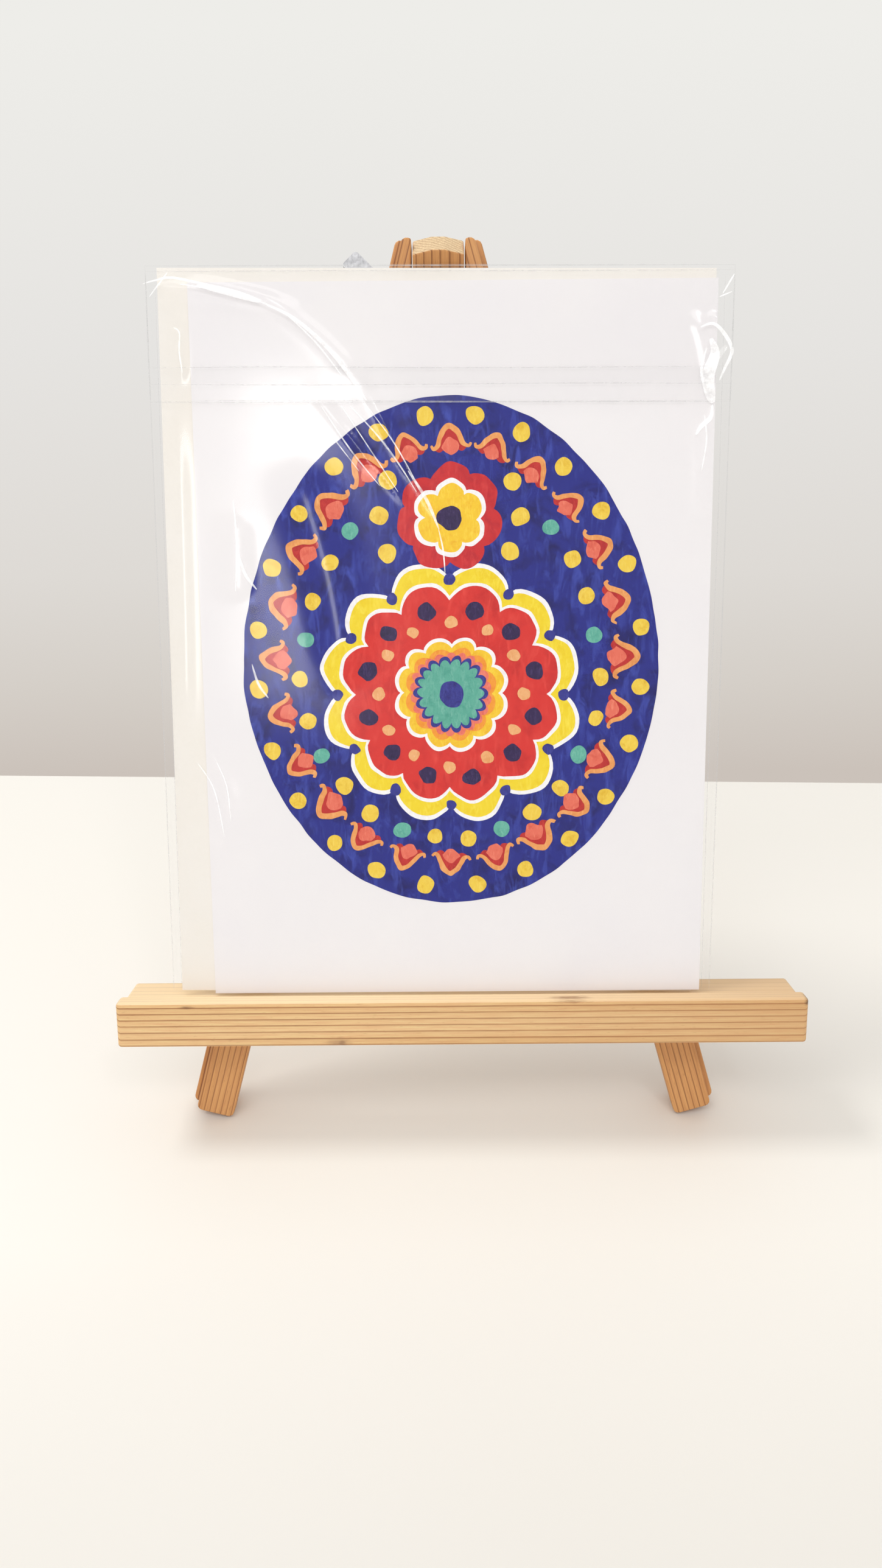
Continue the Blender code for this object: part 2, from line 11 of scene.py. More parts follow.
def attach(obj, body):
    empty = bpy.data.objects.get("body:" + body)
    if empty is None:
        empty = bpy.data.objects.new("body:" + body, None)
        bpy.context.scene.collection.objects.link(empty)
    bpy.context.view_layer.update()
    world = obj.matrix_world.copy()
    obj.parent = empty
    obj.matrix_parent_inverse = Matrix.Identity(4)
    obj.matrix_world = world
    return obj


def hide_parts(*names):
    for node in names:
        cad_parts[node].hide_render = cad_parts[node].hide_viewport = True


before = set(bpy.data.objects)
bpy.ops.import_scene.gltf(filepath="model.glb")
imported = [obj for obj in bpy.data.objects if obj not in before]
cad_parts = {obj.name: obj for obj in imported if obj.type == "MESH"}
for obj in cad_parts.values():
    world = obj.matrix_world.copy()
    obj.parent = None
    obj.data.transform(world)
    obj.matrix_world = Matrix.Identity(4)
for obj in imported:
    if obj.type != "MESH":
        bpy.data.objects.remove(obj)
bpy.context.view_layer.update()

MM = 0.001

# The CAD's tilted frames, in millimetres: X along the ledge, Y away from the viewer, Z up the piece.
LEG_LEAN = math.radians(12.0)
PACK_LEAN = math.radians(2.4)
REAR_ANGLE = math.radians(16.0)
SPLAY = {"left": math.radians(15.0), "right": math.radians(16.1)}
LEGS_X = -4.5
SHELF_HEIGHT = 11.3
SHELF_GAP = 0.3  # clearance between the pack and the shelf it stands on
CARD_X = -1.1
CARD_RISE = 0.6
SLEEVE_X = -5.2
SLEEVE_RISE = 0.45
SLEEVE_TILT = math.radians(0.35)
SLEEVE_WIDTH = 140.8
SLEEVE_HEIGHT = 180.6
CARD_TO_SLEEVE = SLEEVE_X - CARD_X  # from the card's centre line to the sleeve's
CLEAR = (1.0, 1.0, 1.0, 1.0)


def metres(x, y, z):
    return Matrix.Translation(Vector((x, y, z)) * MM)


EASEL = metres(0.0, -46.7766, 28.838) @ Matrix.Rotation(-LEG_LEAN, 4, "X")
PACK = EASEL @ metres(0, -11.25, SHELF_HEIGHT + SHELF_GAP) @ Matrix.Rotation(-PACK_LEAN, 4, "X")
CARD = PACK @ metres(CARD_X, 0, CARD_RISE)
SLEEVE = PACK @ metres(SLEEVE_X, 0, SLEEVE_RISE) @ Matrix.Rotation(SLEEVE_TILT, 4, "Y")
REAR = Matrix.Translation((-0.0045, -0.0011295, 0.2118466)) @ Matrix.Rotation(REAR_ANGLE, 4, "X")


# ---------------------------------------------------------------- node helpers

def srgb(red, green, blue):
    """A colour of 0 to 255 steps, as the linear colour that nodes take."""
    channels = (value / 255 for value in (red, green, blue))
    return (*(c / 12.92 if c <= 0.04045 else ((c + 0.055) / 1.055) ** 2.4 for c in channels), 1.0)


class Shader:
    """A material and short ways to add to its nodes."""

    def __init__(self, name, **settings):
        self.material = bpy.data.materials.new(name)
        self.material.use_nodes = True
        self.tree = self.material.node_tree
        self.surface = self.tree.nodes["Principled BSDF"]
        self.output = self.tree.nodes["Material Output"]
        for socket, value in settings.items():
            self.surface.inputs[socket.replace("_", " ")].default_value = value

    def node(self, kind, inputs=None, **props):
        made = self.tree.nodes.new("ShaderNode" + kind)
        for key, value in props.items():
            setattr(made, key, value)
        for key, value in (inputs or {}).items():
            self.feed(made.inputs[key], value)
        return made

    def feed(self, socket, value):
        if isinstance(value, bpy.types.NodeSocket):
            self.tree.links.new(value, socket)
        else:
            socket.default_value = value

    def coords(self, matrix=None, scale=(1000, 1000, 1000), seed=0.0):
        """Position in a frame's own axes, in millimetres times the scale, as the piece is at rest."""
        where = self.node("TexCoord").outputs["Object"]
        if matrix is not None:
            inverse = matrix.inverted()
            turn = inverse.to_euler()
            place = inverse.translation
            where = self.node(
                "Mapping", {"Vector": where, "Rotation": turn, "Location": place}
            ).outputs["Vector"]
        shift = (seed * 3.1, seed * 7.7, seed * 5.3)
        settings = {"Vector": where, "Scale": scale, "Location": shift}
        return self.node("Mapping", settings).outputs["Vector"]

    def noise(self, vector, scale, detail=2.0, roughness=0.5, distortion=0.0):
        settings = {
            "Vector": vector,
            "Scale": scale,
            "Detail": detail,
            "Roughness": roughness,
            "Distortion": distortion,
        }
        return self.node("TexNoise", settings).outputs["Fac"]

    def ramp(self, factor, *stops):
        """A map from the factor to colours or grey values, given as (position, value) pairs."""
        made = self.node("ValToRGB", {"Fac": factor})
        band = made.color_ramp
        while len(band.elements) < len(stops):
            band.elements.new(0.5)
        for element, (position, value) in zip(band.elements, stops):
            element.position = position
            element.color = value if isinstance(value, tuple) else (value, value, value, 1.0)
        return made.outputs["Color"]

    def mix(self, factor, first, second, blend="MIX"):
        made = self.tree.nodes.new("ShaderNodeMix")
        made.data_type = "RGBA"
        made.blend_type = blend
        self.feed(made.inputs[0], factor)
        self.feed(made.inputs[6], first)
        self.feed(made.inputs[7], second)
        return made.outputs[2]

    def math(self, operation, first, second=0.5):
        return self.node("Math", {0: first, 1: second}, operation=operation).outputs[0]

    def bump(self, height, distance, strength=1.0):
        made = self.node("Bump", {"Height": height, "Distance": distance, "Strength": strength})
        self.feed(self.surface.inputs["Normal"], made.outputs["Normal"])

    def colour(self, value):
        self.feed(self.surface.inputs["Base Color"], value)

    def roughness(self, value):
        self.feed(self.surface.inputs["Roughness"], value)


# ---------------------------------------------------------------- materials

# Painted highlight: the pale tone that upward-facing wood is mixed towards, as if lit from above.
PAINTED_TOP_HIGHLIGHT = srgb(250, 226, 184)
# Painted shade: the darker tone that the ledge is mixed towards on its right.
PAINTED_SHADE_TONE = srgb(190, 138, 88)


def wood(name, grain, pith, tones, spacing=1.3, seed=0.0, end_tone=None, marks=(), shaded_right=False):
    """Pine: growth rings around a pith line, fine fibres along the grain, and darker end grain, with a
    painted highlight on faces that look up.

    grain is the frame whose Z axis runs along the fibres. pith is the pith's place across it.
    marks are knots, as (place, reach, tone) in millimetres. The last flag adds painted shade: the wood gets
    darker and browner towards +X.
    """
    light, middle, dark = tones
    s = Shader(name, Specular_IOR_Level=0.5)
    across = s.coords(grain @ metres(pith[0], pith[1], 0), (1000, 1000, 22), seed=0)
    rings = s.node(
        "TexWave",
        {
            "Vector": across,
            "Scale": math.pi / 10 / spacing,
            "Distortion": 1.7,
            "Detail": 2.5,
            "Detail Scale": 0.32,
            "Detail Roughness": 0.55,
            "Phase Offset": seed,
        },
        wave_type="RINGS",
        rings_direction="Z",
        wave_profile="SAW",
    ).outputs["Fac"]
    line = s.ramp(rings, (0.0, 0.15), (0.12, 0.0), (0.74, 0.10), (0.87, 0.7), (0.94, 1.0), (1.0, 0.5))
    broad = s.noise(s.coords(grain, (1000, 1000, 40), seed), 0.11, 2.0)
    fibres = s.noise(s.coords(grain, (1000, 1000, 30), seed + 1), 3.2, 3.0, 0.65)
    flecks = s.noise(s.coords(grain, (1000, 1000, 90), seed + 2), 5.0, 1.0, 0.5)
    strength = s.math("MULTIPLY", line, s.ramp(broad, (0.3, 0.75), (0.6, 1.0)))
    base = s.mix(s.ramp(broad, (0.32, 0.0), (0.68, 1.0)), light, middle)
    base = s.mix(strength, base, dark)
    base = s.mix(0.28, base, s.ramp(fibres, (0.3, 0.25), (0.7, 0.85)), "OVERLAY")
    base = s.mix(s.ramp(flecks, (0.66, 0.0), (0.78, 0.35)), base, dark)
    geometry = s.node("NewGeometry").outputs["Normal"]
    turned = s.node(
        "VectorTransform",
        {"Vector": geometry},
        vector_type="NORMAL",
        convert_from="WORLD",
        convert_to="OBJECT",
    ).outputs["Vector"]
    upward = s.node("SeparateXYZ", {0: turned}).outputs["Z"]
    # Painted highlight: faces that look up are mixed towards a pale tone, as if lit from above.
    base = s.mix(s.ramp(upward, (0.55, 0.0), (0.9, 0.7)), base, PAINTED_TOP_HIGHLIGHT)
    along = grain.to_3x3() @ Vector((0, 0, 1))
    facing = s.node("VectorMath", {0: turned, 1: along}, operation="DOT_PRODUCT").outputs["Value"]
    ends = s.ramp(s.math("ABSOLUTE", facing), (0.75, 0.0), (0.95, 1.0))
    pores = s.noise(s.coords(grain, (1000, 1000, 1000), seed + 3), 2.6, 3.0, 0.7)
    end_colour = s.mix(s.ramp(pores, (0.35, 0.0), (0.7, 0.55)), end_tone or middle, dark)
    end_colour = s.mix(s.math("MULTIPLY", line, 0.6), end_colour, dark)
    # Painted shade: the wood darkens towards +X, away from the light on the left.
    if shaded_right:
        sideways = s.node("SeparateXYZ", {0: s.coords(scale=(5.5, 5.5, 5.5))}).outputs["X"]
        painted_shade = s.ramp(s.math("ADD", sideways, 0.5), (0.35, 0.0), (1.0, 0.42))
        base = s.mix(painted_shade, base, PAINTED_SHADE_TONE)
    for place, reach, tone in marks:
        centre = -Vector([p / r for p, r in zip(place, reach)])
        spot = s.node("Mapping", {"Vector": s.coords(), "Location": centre})
        s.feed(spot.inputs["Scale"], [1 / r for r in reach])
        length = s.node("VectorMath", {0: spot.outputs["Vector"]}, operation="LENGTH")
        near = length.outputs["Value"]
        rough_edge = s.math("ADD", near, s.math("MULTIPLY", s.math("SUBTRACT", flecks, 0.5), 0.9))
        base = s.mix(s.ramp(rough_edge, (0.35, 0.8), (1.0, 0.0)), base, tone)
    s.colour(s.mix(ends, base, end_colour))
    s.roughness(s.ramp(fibres, (0.3, 0.42), (0.75, 0.62)))
    height = s.math("ADD", s.math("MULTIPLY", fibres, 0.6), s.math("MULTIPLY", rings, -0.35))
    s.bump(height, 0.00009, 0.55)
    return s.material


def paint(name, dark, middle, light, scale=0.16, grain=0.35, seed=0.0, roughness=0.42):
    """Printed gouache: soft blotches and dry brush streaks between three tones, on fine paper grain."""
    s = Shader(name, Specular_IOR_Level=0.12)
    flat = s.coords(CARD, seed=seed)
    blotch = s.noise(flat, scale, 4.0, 0.62, 0.6)
    brushed = s.noise(s.coords(CARD, (1000, 1000, 320), seed + 4), scale * 3.2, 3.0, 0.6, 0.8)
    colour = s.mix(s.ramp(blotch, (0.30, 0.0), (0.52, 1.0)), dark, middle)
    colour = s.mix(s.ramp(brushed, (0.5, 0.0), (0.74, 1.0)), colour, light)
    speckle = s.noise(flat, 3.6, 2.0, 0.6)
    colour = s.mix(grain * 0.5, colour, s.ramp(speckle, (0.3, 0.3), (0.7, 0.75)), "OVERLAY")
    s.colour(colour)
    s.roughness(s.ramp(blotch, (0.3, roughness - 0.08), (0.7, roughness + 0.08)))
    s.bump(speckle, 0.00001, 0.3)
    return s.material


def paper(name, tone, shade, roughness, fibre=2.2, seed=0.0, bump=0.00002):
    s = Shader(name, Specular_IOR_Level=0.3)
    flat = s.coords(CARD, seed=seed)
    cloud = s.noise(flat, 0.05, 3.0)
    fine = s.noise(flat, fibre, 4.0, 0.7)
    colour = s.mix(s.ramp(cloud, (0.3, 0.0), (0.7, 1.0)), tone, shade)
    colour = s.mix(0.1, colour, s.ramp(fine, (0.3, 0.35), (0.7, 0.7)), "OVERLAY")
    s.colour(colour)
    s.roughness(s.ramp(fine, (0.3, roughness - 0.06), (0.7, roughness + 0.06)))
    s.bump(fine, bump, 0.4)
    return s.material


def film(name, haze, gloss, seed=0.0):
    """Clear film: what is behind it shows through, with a mirror reflection that grows at a slant."""
    s = Shader(name, Roughness=0.13, Metallic=1.0)
    s.surface.inputs["Base Color"].default_value = CLEAR
    flat = s.coords(SLEEVE, seed=seed)
    cloud = s.noise(flat, 0.045, 3.0, 0.6)
    s.bump(s.noise(flat, 0.5, 2.0, 0.5), 0.00001, 0.2)
    slant = s.node("LayerWeight", {"Blend": 0.5}).outputs["Facing"]
    fresnel = s.math("ADD", s.math("MULTIPLY", s.math("POWER", slant, 5.0), 0.95), 0.045)
    veil = s.ramp(cloud, (0.35, haze * 0.4), (0.7, haze * 1.5))
    clear = s.node("BsdfTransparent", {"Color": CLEAR}).outputs[0]
    milky = s.node("BsdfDiffuse", {"Color": (0.95, 0.95, 0.96, 1.0)}).outputs[0]
    body = s.node("MixShader", {0: veil, 1: clear, 2: milky}).outputs[0]
    share = s.math("MULTIPLY", fresnel, gloss)
    both = s.node("MixShader", {0: share, 1: body, 2: s.surface.outputs[0]}).outputs[0]
    s.tree.links.new(both, s.output.inputs["Surface"])
    return s.material


def crease_with_glint(name, strength, tone):
    """A fold line or seam in the film, where the plastic has gone slightly white, with a painted glint: a
    faint emission makes it glow brighter than what is behind it.
    """
    s = Shader(name, Roughness=0.25, Specular_IOR_Level=0.6)
    s.surface.inputs["Base Color"].default_value = (tone, tone, tone, 1.0)
    s.surface.inputs["Emission Color"].default_value = CLEAR
    # Painted glint: the line glows faintly, more the whiter it is.
    s.surface.inputs["Emission Strength"].default_value = 0.24 * tone**4
    broken = s.noise(s.coords(SLEEVE, seed=strength * 10), 0.35, 3.0, 0.7)
    share = s.ramp(broken, (0.3, strength * 0.35), (0.65, strength))
    clear = s.node("BsdfTransparent", {"Color": CLEAR}).outputs[0]
    both = s.node("MixShader", {0: share, 1: clear, 2: s.surface.outputs[0]}).outputs[0]
    s.tree.links.new(both, s.output.inputs["Surface"])
    return s.material


def steel(name, tone, seed=0.0):
    s = Shader(name, Metallic=1.0)
    where = s.coords(seed=seed)
    cloud = s.noise(where, 0.6, 3.0)
    scratch = s.noise(s.coords(scale=(1000, 1000, 120), seed=seed), 2.2, 3.0, 0.7)
    darker = (*(channel * 0.72 for channel in tone[:3]), 1.0)
    s.colour(s.mix(s.ramp(cloud, (0.35, 0.0), (0.7, 1.0)), tone, darker))
    s.roughness(s.ramp(scratch, (0.3, 0.26), (0.7, 0.5)))
    s.bump(scratch, 0.00003, 0.5)
    return s.material


def paint_node(name, material):
    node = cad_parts[name]
    node.data.materials.clear()
    node.data.materials.append(material)


# ---------------------------------------------------------------- shapes on the card

EGG_WIDTH = 104.2
EGG_HEIGHT = 126.4
EGG_TAPER = 0.055
EGG_SQUEEZE = 0.028  # how much narrower the lower half is than an ellipse
EGG_X = -1.1
EGG_Z = 87.4
FLOWER_X = 0.0
FLOWER_Z = 34.4
LAYER_FRONT = 0.30  # how far the lowest ink layer stands behind the sleeve's front, in the pack
LAYER_STEP = 0.011


def wobble(x, z, amount, size, seed):
    """A small, smooth push on a point, as from an unsteady brush."""
    first = noise.noise(Vector((x / size, z / size, seed)))
    second = noise.noise(Vector((x / size, z / size, seed + 31.7)))
    return x + amount * first, z + amount * second


def hand(x, z):
    """The slow drift of a freehand drawing, the same for every layer."""
    return wobble(x, z, 1.1, 15.0, 3.7)


def egg_at(degrees, share=1.0):
    """A point on the egg's outline, or inside it. Degrees run clockwise from the top."""
    angle = math.radians(90 - degrees)
    height = math.sin(angle)
    half = EGG_WIDTH / 2 * (1 - EGG_TAPER * height)
    if height < 0:
        half *= 1 - EGG_SQUEEZE * math.sin(2 * angle) ** 2
    return half * math.cos(angle) * share, EGG_HEIGHT / 2 * height * share


def flat_piece(name, outlines, level, material, amount=0.22, size=3.2, seed=1.0, freehand=True):
    """Closed outlines in egg millimetres, each filled as one flat shape on its own ink layer."""
    bm = bmesh.new()
    y = LAYER_FRONT - LAYER_STEP * level
    for outline in outlines:
        points = []
        for x, z in outline:
            if freehand:
                x, z = hand(x, z)
            x, z = wobble(x, z, amount, size, seed)
            points.append(bm.verts.new(Vector((x + EGG_X, y, z + EGG_Z)) * MM))
        face = bm.faces.new(points)
        face.normal_update()
        if face.normal.y > 0:
            face.normal_flip()
    bmesh.ops.triangulate(bm, faces=bm.faces)
    bm.transform(CARD)
    mesh = bpy.data.meshes.new(name)
    bm.to_mesh(mesh)
    bm.free()
    mesh.materials.append(material)
    obj = bpy.data.objects.new(name, mesh)
    bpy.context.scene.collection.objects.link(obj)
    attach(obj, "pack")
    return obj


def disc(x, z, radius, count=22):
    turns = (2 * math.pi * step / count for step in range(count))
    return [(x + radius * math.cos(turn), z + radius * math.sin(turn)) for turn in turns]


def scallops(x, z, radius, lobes, depth, start=0.0, power=0.75):
    """An outline of round lobes."""
    points = []
    count = lobes * 14
    for step in range(count):
        degrees = 360 * step / count
        lobe = abs(math.cos(math.radians((degrees - start) * lobes / 2))) ** power
        reach = radius * (1 - depth + depth * lobe)
        angle = math.radians(90 - degrees)
        points.append((x + reach * math.cos(angle), z + reach * math.sin(angle)))
    return points


def catmull_rom(p, q, r, s, t):
    square = (2 * p - 5 * q + 4 * r - s) * t**2
    cube = (3 * q - p - 3 * r + s) * t**3
    return 0.5 * (2 * q + (r - p) * t + square + cube)


def smooth_path(points, steps=5):
    """A Catmull-Rom curve through the points."""
    ends = [points[0], *points, points[-1]]
    made = []
    for a, b, c, d in zip(ends, ends[1:], ends[2:], ends[3:]):
        for step in range(steps):
            t = step / steps
            made.append(tuple(catmull_rom(*values, t) for values in zip(a, b, c, d)))
    made.append(points[-1])
    return made


def stroke(points, width, taper=0.45):
    """A brush stroke's outline: a ribbon along the path, narrower at its ends."""
    left, right = [], []
    last = len(points) - 1
    for i, (x, z) in enumerate(points):
        ahead, behind = points[min(i + 1, last)], points[max(i - 1, 0)]
        dx, dz = ahead[0] - behind[0], ahead[1] - behind[1]
        length = math.hypot(dx, dz) or 1.0
        share = math.sin(math.pi * (0.06 + 0.88 * i / last)) ** taper
        half = width / 2 * share
        left.append((x - dz / length * half, z + dx / length * half))
        right.append((x + dz / length * half, z - dx / length * half))
    return left + right[::-1]


def placed(outline, centre, degrees, size=1.0):
    """An outline turned so that its own up points in this direction, clockwise from the top."""
    turn = math.radians(-degrees)
    cos, sin = math.cos(turn) * size, math.sin(turn) * size
    return [(centre[0] + x * cos - z * sin, centre[1] + x * sin + z * cos) for x, z in outline]


BELL = [(-5.6, -1.0), (-4.9, -1.9), (-3.7, -1.2), (-2.8, 0.9), (-1.7, 2.7), (0.0, 3.8)]
BELL = smooth_path(BELL + [(-x, z) for x, z in BELL[-2::-1]])
BELL_BODY = smooth_path([(-4.4, -2.4), (-3.4, -0.8), (-2.5, 1.2), (-1.4, 2.7), (0.0, 3.4)])
BELL_BODY += [(-x, z) for x, z in BELL_BODY[-2::-1]]
BELL_BODY += smooth_path([(4.4, -2.4), (2.8, -3.0), (0.0, -1.4), (-2.8, -3.0), (-4.4, -2.4)])[1:-1]
BELL_HEART = [(-2.6, -1.9), (-2.0, -0.5), (-0.9, 0.6), (0.0, 0.9)]
BELL_HEART = smooth_path(BELL_HEART + [(-x, z) for x, z in BELL_HEART[-2::-1]])
BELL_HEART += smooth_path([(2.6, -1.9), (1.3, -3.4), (0.0, -3.9), (-1.3, -3.4), (-2.6, -1.9)])[1:-1]

# The border is a plain repeat: bell flowers in one even ring, dots between them and in a ring inside.
BELL_COUNT = 24
BELL_SHARE = 0.835
DOT_SHARE = 0.935
INNER_COUNT = 28


def even_ring(count, offset=0.0):
    """Evenly spaced directions around the egg, in degrees from the top, -180 to 180."""
    return [(360 * (step + offset) / count + 180) % 360 - 180 for step in range(count)]


def outward(degrees):
    """The direction that a bell flower at this angle points in, square to the egg's edge."""
    ahead, behind = egg_at(degrees + 2), egg_at(degrees - 2)
    return math.degrees(math.atan2(behind[1] - ahead[1], ahead[0] - behind[0]))


def make_egg():
    tones = (srgb(20, 16, 92), srgb(32, 38, 132), srgb(58, 72, 168))
    ultramarine = paint("ultramarine_ink", *tones, 0.14, 0.5, 1)
    outline = [egg_at(d / 2) for d in range(720)]
    ground = flat_piece("egg_ground", [outline], 0, ultramarine, 0.3, 5.0, 5.0, False)
    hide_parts("egg_print")
    return ground


def make_border():
    ochre = paint("ochre_ink", srgb(222, 142, 78), srgb(236, 160, 92), srgb(243, 178, 112), 0.3, 0.3, 2)
    red = paint("brick_red_ink", srgb(168, 30, 34), srgb(190, 42, 40), srgb(206, 58, 52), 0.3, 0.3, 3)
    salmon = paint("salmon_ink", srgb(218, 92, 72), srgb(230, 112, 90), srgb(238, 134, 108), 0.4, 0.3, 4)
    yellow = paint("warm_yellow_ink", srgb(226, 180, 44), srgb(240, 204, 72), srgb(246, 216, 96), 0.4, 0.3, 5)
    sea = paint("sea_green_ink", srgb(82, 160, 142), srgb(100, 178, 158), srgb(124, 192, 172), 0.4, 0.3, 6)
    edges, bodies, hearts = [], [], []
    for index, degrees in enumerate(even_ring(BELL_COUNT)):
        centre = egg_at(degrees, BELL_SHARE)
        jitter = 9 * noise.noise(Vector((index * 1.7, 3.3, 0.5)))
        size = 0.89 + 0.12 * noise.noise(Vector((index * 2.3, 8.1, 2.5)))
        turn = outward(degrees) + jitter
        edges.append(placed(stroke(BELL, 1.5), centre, turn, size))
        bodies.append(placed(BELL_BODY, centre, turn, size))
        hearts.append(placed(BELL_HEART, centre, turn, size))
    flat_piece("bell_bodies", bodies, 1, red, 0.3, 2.2, 11.0)
    flat_piece("bell_hearts", hearts, 2, salmon, 0.5, 1.9, 12.0)
    flat_piece("bell_edges", edges, 3, ochre, 0.25, 2.0, 13.0)
    dots = [disc(*egg_at(degrees, DOT_SHARE), 2.2) for degrees in even_ring(BELL_COUNT, 0.5)]
    sea_dots = []
    for degrees in even_ring(INNER_COUNT, 0.5):
        place = int(abs(degrees) * INNER_COUNT / 360)
        if place > 2:
            share = 0.70 if abs(degrees) < 95 else 0.735
            (sea_dots if place % 3 == 0 else dots).append(disc(*egg_at(degrees, share), 2.1))
    for turn in (60, 90, 120, 240, 270, 300):
        angle = math.radians(90 - turn)
        dots.append(disc(FLOWER_X + 17.5 * math.cos(angle), FLOWER_Z + 17.5 * math.sin(angle), 2.3))
    flat_piece("yellow_dots", dots, 1, yellow, 0.35, 2.6, 21.0)
    flat_piece("sea_green_dots", sea_dots, 1, sea, 0.3, 2.6, 22.0)


def make_upper_flower():
    x, z = FLOWER_X, FLOWER_Z
    crimson = paint("crimson_wash_ink", srgb(178, 28, 42), srgb(204, 40, 44), srgb(216, 62, 60), 0.22, 0.3, 7)
    white = paint("white_ink", srgb(236, 232, 236), srgb(248, 246, 248), srgb(252, 252, 252), 0.5, 0.2, 8)
    lemon = paint("golden_ink", srgb(238, 180, 30), srgb(244, 200, 44), srgb(250, 216, 70), 0.4, 0.3, 9)
    black = paint("blue_black_ink", srgb(30, 14, 60), srgb(46, 26, 76), srgb(70, 52, 104), 0.5, 0.3, 10)
    flat_piece("upper_flower_outer", [scallops(x, z, 13.2, 7, 0.16)], 2, crimson, 0.6, 4.0, 31.0)
    flat_piece("upper_flower_white", [scallops(x, z, 9.6, 6, 0.2, 0)], 3, white, 0.5, 3.0, 32.0)
    flat_piece("upper_flower_yellow", [scallops(x, z, 8.5, 6, 0.24, 0)], 4, lemon, 0.5, 3.0, 32.0)
    flat_piece("upper_flower_heart", [disc(x - 0.3, z + 0.3, 3.1, 26)], 5, black, 0.5, 2.2, 33.0)
    return white, lemon, black


def make_rosette(white, golden, black):
    x, z = 0.0, -9.2
    lobes = 12
    crescent = paint("lemon_ink", srgb(236, 202, 20), srgb(242, 214, 40), srgb(248, 226, 74), 0.3, 0.25, 12)
    red = paint("scarlet_ink", srgb(196, 36, 34), srgb(216, 48, 42), srgb(226, 68, 58), 0.16, 0.35, 13)
    orange = paint("orange_ink", srgb(236, 140, 36), srgb(243, 156, 50), srgb(247, 172, 74), 0.4, 0.3, 14)
    pink = paint("pink_ink", srgb(222, 96, 84), srgb(234, 118, 100), srgb(240, 140, 120), 0.5, 0.3, 15)
    blue = paint("royal_blue_ink", srgb(40, 36, 118), srgb(50, 52, 140), srgb(66, 72, 160), 0.4, 0.3, 16)
    sea = paint("teal_ink", srgb(74, 156, 138), srgb(94, 172, 152), srgb(118, 186, 168), 0.35, 0.3, 17)
    peach = paint("peach_ink", srgb(228, 158, 96), srgb(238, 176, 118), srgb(243, 192, 140), 0.5, 0.3, 18)
    half = 180 / lobes
    flat_piece("rosette_rim", [scallops(x, z, 33.2, lobes, 0.14, half)], 1, white, 0.5, 5.0, 41.0)
    flat_piece("rosette_crescents", [scallops(x, z, 32.1, lobes, 0.15, half)], 2, crescent, 0.5, 5.0, 41.0)
    flat_piece("rosette_inner_rim", [scallops(x, z, 28.4, lobes, 0.13, half)], 3, white, 0.5, 4.0, 43.0)
    flat_piece("rosette_red", [scallops(x, z, 27.5, lobes, 0.14, half)], 4, red, 0.5, 4.0, 43.0)
    knots, darks, peaches = [], [], []
    for step in range(lobes):
        angle = math.radians(90 - 360 * step / lobes)
        knots.append(disc(x + 28.3 * math.cos(angle), z + 28.3 * math.sin(angle), 1.4, 16))
        peaches.append(disc(x + 18.4 * math.cos(angle), z + 18.4 * math.sin(angle), 1.5, 16))
        angle -= math.radians(half)
        darks.append(disc(x + 21.5 * math.cos(angle), z + 21.5 * math.sin(angle), 2.2, 18))
    flat_piece("rosette_knots", knots, 5, blue, 0.35, 1.6, 44.0)
    flat_piece("rosette_dark_dots", darks, 5, black, 0.5, 2.0, 45.0)
    flat_piece("rosette_peach_dots", peaches, 5, peach, 0.4, 1.8, 46.0)
    flat_piece("rosette_core_rim", [scallops(x, z, 14.9, 12, 0.12, 15)], 5, white, 0.3, 4.0, 47.0)
    flat_piece("rosette_core", [scallops(x, z, 13.9, 12, 0.13, 15)], 6, golden, 0.3, 4.0, 47.0)
    flat_piece("rosette_crown", [scallops(x, z, 11.9, 12, 0.12, 15)], 7, orange, 0.3, 4.0, 47.0)
    flat_piece("rosette_pink_ring", [scallops(x, z, 10.7, 22, 0.1, 0)], 8, pink, 0.2, 2.2, 48.0)
    flat_piece("rosette_blue_ring", [scallops(x, z, 9.8, 18, 0.16, 10)], 9, blue, 0.2, 2.2, 49.0)
    flat_piece("rosette_disc", [scallops(x, z, 8.8, 18, 0.17, 10)], 10, sea, 0.2, 2.2, 50.0)
    flat_piece("rosette_heart", [disc(x + 0.2, z - 0.1, 3.25, 26)], 11, blue, 0.35, 2.4, 52.0)


# ---------------------------------------------------------------- the clear sleeve

def ridge(x, z, start, end, width, height, bend=0.0, ends=0.25):
    """The height of a fold that runs between two points of the sleeve, on a slight curve."""
    sx, sz = start
    dx, dz = end[0] - sx, end[1] - sz
    length = math.hypot(dx, dz)
    along = ((x - sx) * dx + (z - sz) * dz) / length**2
    across = ((x - sx) * -dz + (z - sz) * dx) / length
    across = across - bend * 4 * along * (1 - along)
    fade = np.clip(along / ends, 0, 1) * np.clip((1 - along) / ends, 0, 1)
    fade = fade * fade * (3 - 2 * fade)
    return height * fade * np.exp(-((across / width) ** 2))


def slow_waves(x, z, amount, size, seed):
    """Broad unevenness in a sheet, never negative."""
    value = 0.5 + 0.25 * np.sin(x / size + seed) + 0.25 * np.sin(z / size * 0.8 + x / size * 0.6 + seed * 1.7)
    return amount * value


